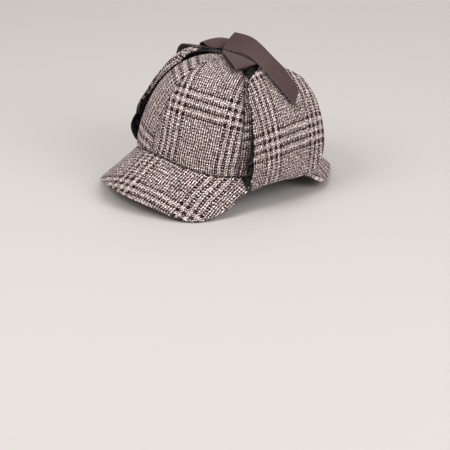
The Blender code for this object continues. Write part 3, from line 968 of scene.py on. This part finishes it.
# %% [markdown]
# ## The fleece inside the flaps
#
# The lining is a thick pile under the cloth of the flap.  It could be thousands of hairs, but at
# this size a sheet does: its face is roughened point by point, so that its edge looks like pile and
# not like rubber.

# %% Make the linings
LINING_WALL = 2.6 * MM
TUFT_DEPTH = 0.35 * MM
TUFT_SIZE = 2.2 * MM
TUFT_SEED = 30


def make_lining(side, name):
    grid = flap_points(side, LINING_FIRST_ROW)
    inward = normals_of(grid)
    tufts = TUFT_DEPTH * waves(grid, TUFT_SIZE, TUFT_SEED)
    face = grid - inward * (FLAP_WALL + LINING_GAP + np.abs(tufts))[..., None]
    cut = np.stack(np.meshgrid(np.arange(grid.shape[1]), np.arange(grid.shape[0])), axis=-1) * MM
    lining = sheet_of_cloth(
        "flap_lining_" + name + "_pile", face, cut, LINING_WALL, fleece, edge=0.0
    )
    lining.modifiers["wall"].use_even_offset = False
    return stands_for(lining, "flap_lining_" + name)


for side, name in ((1, "left"), (-1, "right")):
    print(make_lining(side, name).name, "is made")

# %% [markdown]
# ## The ribbon bow
#
# A ribbon is a strip of constant width that bends but hardly stretches, and a tied one is gathered
# at the knot.  A cloth simulation would drape it by itself, but its folds would fall where they
# like, and these have to lie as on the real bow.  So each stretch is a short table of its two
# edges, and a smooth sheet is lofted between them.  The middle of the strip is pushed out a little,
# because a bent ribbon always cups.
#
# Most points of the long end were worked out from places in the photograph and a chosen depth.  The
# other tables were set by hand and compared with it.

# %% The ribbon's tables: front or lower edge, rear or upper edge
RIBBON_WALL = 0.6 * MM
RIBBON_COLUMNS = 14
RIBBON_STEPS = 10
RIBBON_TABLES = {
    "ribbon_left": (
        (31.0, 0.0, 118.6, 31.0, 10.0, 118.6),
        (10.0, 1.0, 119.2, 10.0, 12.0, 119.2),
        (-13.0, 2.0, 118.7, -13.0, 12.0, 118.7),
    ),
    "ribbon_right": (
        (-36.0, -25.5, 116.0, -42.0, -18.5, 117.2),
        (-29.0, -20.5, 116.8, -36.5, -12.5, 118.0),
        (-20.0, -17.5, 118.0, -28.0, -9.0, 119.2),
        (-10.0, -13.5, 118.8, -17.0, -6.5, 119.2),
    ),
    "bow_loop_front": (
        (-27.0, 0.0, 120.2, -27.0, 10.0, 128.5),
        (-31.0, -7.0, 119.6, -32.0, 9.0, 129.0),
        (-37.0, -11.0, 120.4, -38.0, 7.0, 128.4),
        (-43.0, -14.0, 123.0, -44.0, 4.0, 126.8),
        (-47.5, -14.0, 120.4, -50.0, 4.0, 123.4),
        (-45.0, -14.0, 118.2, -47.0, 6.0, 120.4),
        (-37.0, -10.0, 118.4, -38.0, 9.0, 121.0),
        (-29.0, 2.0, 118.9, -29.0, 10.0, 121.4),
    ),
    "bow_loop_side": (
        (-9.0, -13.5, 119.4, -8.0, -8.0, 119.2),
        (4.0, -24.0, 120.0, 4.0, -7.0, 120.2),
        (20.0, -31.5, 118.2, 20.0, -9.0, 120.3),
        (37.0, -36.0, 112.9, 37.5, -11.0, 118.8),
        (40.8, -36.0, 114.4, 42.0, -11.5, 119.8),
        (37.5, -35.0, 117.0, 38.0, -11.0, 121.2),
        (20.0, -31.5, 122.6, 20.0, -10.5, 122.4),
        (4.0, -24.0, 125.0, 4.0, -10.0, 121.9),
        (-10.0, -14.0, 122.8, -9.0, -9.5, 121.6),
    ),
    "bow_tail_long": (
        (-16.0, -7.5, 122.4, -22.5, 10.5, 137.6),
        (-1.5, -8.0, 123.2, -9.5, 10.5, 138.6),
        (14.0, -9.0, 125.4, 3.0, 10.5, 138.8),
        (23.0, -9.5, 125.4, 13.0, 10.5, 137.2),
        (32.0, -10.0, 124.2, 24.0, 10.5, 133.8),
        (43.0, -10.5, 121.1, 35.0, 11.0, 129.2),
        (51.5, -9.5, 117.3, 43.0, 12.5, 125.0),
        (61.0, -5.3, 110.4, 52.5, 18.5, 117.0),
        (70.0, 1.0, 101.2, 61.0, 23.0, 107.8),
        (75.8, 8.2, 92.6, 66.4, 26.0, 101.2),
        (79.6, 16.0, 84.2, 69.8, 26.2, 96.5),
    ),
    "bow_tail_far": (
        (-43.0, -17.0, 117.6, -43.0, 2.0, 119.2),
        (-48.0, -18.0, 116.9, -49.0, 2.0, 117.4),
        (-54.0, -21.0, 117.2, -56.0, -2.0, 115.6),
        (-60.0, -26.5, 117.8, -63.0, -7.0, 114.6),
        (-64.0, -28.0, 113.8, -68.0, -7.0, 111.0),
        (-66.5, -27.5, 108.5, -72.0, -6.0, 105.5),
        (-72.0, -24.0, 101.0, -78.0, -3.0, 98.0),
        (-80.0, -20.0, 91.0, -86.0, 1.0, 87.0),
    ),
}
print("stretches of ribbon:", len(RIBBON_TABLES))

# %% Loft a ribbon between its two edges
FOLD_FADES_IN = 0.6


def ribbon_points(table, cup, fold=0.0):
    numbered = [(index, *values) for index, values in enumerate(table)]
    row = np.linspace(0.0, len(table) - 1.0, (len(table) - 1) * RIBBON_STEPS + 1)
    edges = np.stack([smooth_table(numbered, column, row) for column in range(1, 7)], axis=-1)
    edges *= MM
    share = np.linspace(0.0, 1.0, RIBBON_COLUMNS + 1)[None, :, None]
    grid = edges[:, None, :3] * (1.0 - share) + edges[:, None, 3:] * share
    bulge = 4.0 * share * (1.0 - share)
    back = grid[0] - grid[RIBBON_STEPS]
    back /= np.linalg.norm(back, axis=1, keepdims=True)
    fading = np.exp(-row / FOLD_FADES_IN)[:, None, None]
    return grid + normals_of(grid) * bulge * cup + back * bulge * fold * fading


def ribbon_cut(grid):
    """Flat points: across the ribbon in its width, and along it by its own length."""
    middle = grid[:, RIBBON_COLUMNS // 2]
    steps = np.linalg.norm(np.diff(middle, axis=0), axis=1)
    length = np.concatenate(((0.0,), np.cumsum(steps)))
    across = np.linspace(0.0, RIBBON_WIDTH, RIBBON_COLUMNS + 1)
    return np.stack(np.meshgrid(across, length), axis=-1)


print("a ribbon has", RIBBON_COLUMNS + 1, "points across and", RIBBON_STEPS, "steps a row")

# %% Make the ribbons
RIBBON_CUPS = {"bow_tail_long": 0.8, "bow_tail_far": 0.6, "bow_loop_front": 0.6}
RIBBON_FOLDS = {"bow_tail_long": 3.0}
for name, table in RIBBON_TABLES.items():
    fold = RIBBON_FOLDS.get(name, 0.0) * MM
    grid = ribbon_points(table, RIBBON_CUPS.get(name, 0.3) * MM, fold)
    cut = ribbon_cut(grid)
    is_satin = name == "ribbon_right"
    strip = sheet_of_cloth(
        name + "_strip", grid, cut, RIBBON_WALL, satin if is_satin else ribbon, side=0.0
    )
    stands_for(strip, name)

# %% [markdown]
# ## The knot
#
# The knot is a turn of ribbon pulled tight round the crossing, so it is a small lump with creases
# that run over it the way the ribbon goes.

# %% Make the knot
KNOT_CENTRE = np.array((-21.0, 8.5, 124.6)) * MM
KNOT_SIZE = np.array((6.6, 7.2, 5.8)) * MM
KNOT_RINGS = 40
KNOT_CREASES = 7.0
CREASE_DEPTH = 0.07
CREASE_SWAY = 0.8
KNOT_OPENING = 0.98


def make_knot():
    lift = np.linspace(-0.5, 0.5, KNOT_RINGS + 1)[:, None] * math.pi * KNOT_OPENING
    turn = np.linspace(0.0, math.tau, 2 * KNOT_RINGS + 1)[None, :-1]
    sway = CREASE_SWAY * np.sin(turn)
    creases = 1.0 + CREASE_DEPTH * np.sin(KNOT_CREASES * lift + sway) * np.cos(lift)
    ball = np.stack(
        np.broadcast_arrays(
            np.cos(lift) * np.cos(turn) * creases,
            np.sin(lift),
            np.cos(lift) * np.sin(turn) * creases,
        ),
        axis=-1,
    )
    points = KNOT_CENTRE + ball * KNOT_SIZE
    rows, columns = points.shape[:2]
    faces = [
        (r * columns + c, (r + 1) * columns + c, (r + 1) * columns + (c + 1) % columns,
         r * columns + (c + 1) % columns)
        for r in range(rows - 1)
        for c in range(columns)
    ]
    faces.append(tuple(range(columns)))
    faces.append(tuple(range(rows * columns - 1, (rows - 1) * columns - 1, -1)))
    flat = np.stack(np.meshgrid(np.arange(columns), np.arange(rows)), axis=-1) * 0.3 * MM
    return new_mesh("bow_knot_wrap", points.reshape(-1, 3), faces, flat.reshape(-1, 2), ribbon)


knot = stands_for(make_knot(), "bow_knot")
print("the knot has", len(knot.data.polygons), "faces")

# %% [markdown]
# ## Floor, light and camera
#
# The hat stands on a plain pale floor under soft studio light.  The camera looks from the front
# left of the wearer, a little above the brim, through a long lens.

# %% The floor
FLOOR_REACH = 12.0
FLOOR_COLOUR = (0.62, 0.59, 0.56, 1.0)


def make_floor():
    finish, _, shader = new_finish("pale floor", 0.8, specular=0.2)
    shader.inputs["Base Color"].default_value = FLOOR_COLOUR
    mesh = bpy.data.meshes.new("floor")
    far = FLOOR_REACH
    corners = [(-far, -far, 0), (far, -far, 0), (far, far, 0), (-far, far, 0)]
    mesh.from_pydata(corners, [], [(0, 1, 2, 3)])
    mesh.materials.append(finish)
    made = bpy.data.objects.new("floor", mesh)
    bpy.context.scene.collection.objects.link(made)
    return made


print(make_floor().name, "reaches", FLOOR_REACH, "m each way")

# %% The light
LIGHTS = (  # name, azimuth, elevation, distance in metres, size, power in watts
    ("key", 0.0, 45.0, 1.6, 0.9, 11.0),
    ("fill", 100.0, 30.0, 1.8, 1.2, 15.5),
    ("top", 60.0, 85.0, 1.6, 1.4, 7.0),
    ("back", 215.0, 45.0, 1.8, 1.0, 5.0),
)
LIGHTS_AIM = Vector((0, 0, 0.07))
ROOM_COLOUR = (1.0, 0.97, 0.96, 1.0)
ROOM_STRENGTH = 0.40


def make_light(name, azimuth, elevation, distance, size, power):
    lamp = bpy.data.lights.new(name, "AREA")
    lamp.shape = "DISK"
    lamp.size = size
    lamp.energy = power
    made = bpy.data.objects.new(name, lamp)
    turn = math.radians(azimuth)
    lift = math.radians(elevation)
    outward = Vector(
        (math.sin(turn) * math.cos(lift), -math.cos(turn) * math.cos(lift), math.sin(lift))
    )
    made.location = outward * distance + LIGHTS_AIM
    made.rotation_euler = outward.to_track_quat("Z", "Y").to_euler()
    bpy.context.scene.collection.objects.link(made)


for light in LIGHTS:
    make_light(*light)
world = bpy.data.worlds.new("studio")
world.use_nodes = True
world.node_tree.nodes["Background"].inputs[0].default_value = ROOM_COLOUR
world.node_tree.nodes["Background"].inputs[1].default_value = ROOM_STRENGTH
bpy.context.scene.world = world
bpy.context.scene.view_settings.view_transform = "Standard"
print("lamps:", len(LIGHTS), "with", sum(light[-1] for light in LIGHTS), "W in all")

# %% The camera
CAMERA_AZIMUTH = math.radians(50.0)
CAMERA_ELEVATION = math.radians(12.5)
CAMERA_ROLL = math.radians(7.3)
CAMERA_DISTANCE = 2.3
AIM = Vector((0.0, 0.0, 60.0 * MM))
AIM_PIXEL = (231.2, 111.0)
PICTURE = 450.0
PIXELS_PER_MM = 0.97
SENSOR = 36.0


def make_camera():
    focal = CAMERA_DISTANCE / MM * PIXELS_PER_MM
    level = math.cos(CAMERA_ELEVATION)
    outward = Vector((
        math.sin(CAMERA_AZIMUTH) * level,
        -math.cos(CAMERA_AZIMUTH) * level,
        math.sin(CAMERA_ELEVATION),
    ))
    ahead = -outward
    right = Vector((math.cos(CAMERA_AZIMUTH), math.sin(CAMERA_AZIMUTH), 0.0))
    up = right.cross(ahead)
    right, up = (
        right * math.cos(CAMERA_ROLL) + up * math.sin(CAMERA_ROLL),
        up * math.cos(CAMERA_ROLL) - right * math.sin(CAMERA_ROLL),
    )
    pan = math.atan((AIM_PIXEL[0] - PICTURE / 2) / focal)
    nod = math.atan((PICTURE / 2 - AIM_PIXEL[1]) / focal)
    ahead, right = (
        ahead * math.cos(pan) - right * math.sin(pan),
        right * math.cos(pan) + ahead * math.sin(pan),
    )
    ahead, up = (
        ahead * math.cos(nod) - up * math.sin(nod),
        up * math.cos(nod) + ahead * math.sin(nod),
    )
    pose = Matrix((right, up, -ahead)).transposed().to_4x4()
    pose.translation = AIM + outward * CAMERA_DISTANCE
    lens = bpy.data.cameras.new("camera")
    lens.sensor_width = SENSOR
    lens.lens = SENSOR * focal / PICTURE
    lens.clip_start = 0.05
    lens.clip_end = 60.0
    made = bpy.data.objects.new("camera", lens)
    made.matrix_world = to_table @ pose
    bpy.context.scene.collection.objects.link(made)
    bpy.context.scene.camera = made
    print("lens:", round(lens.lens, 1), "mm")


make_camera()
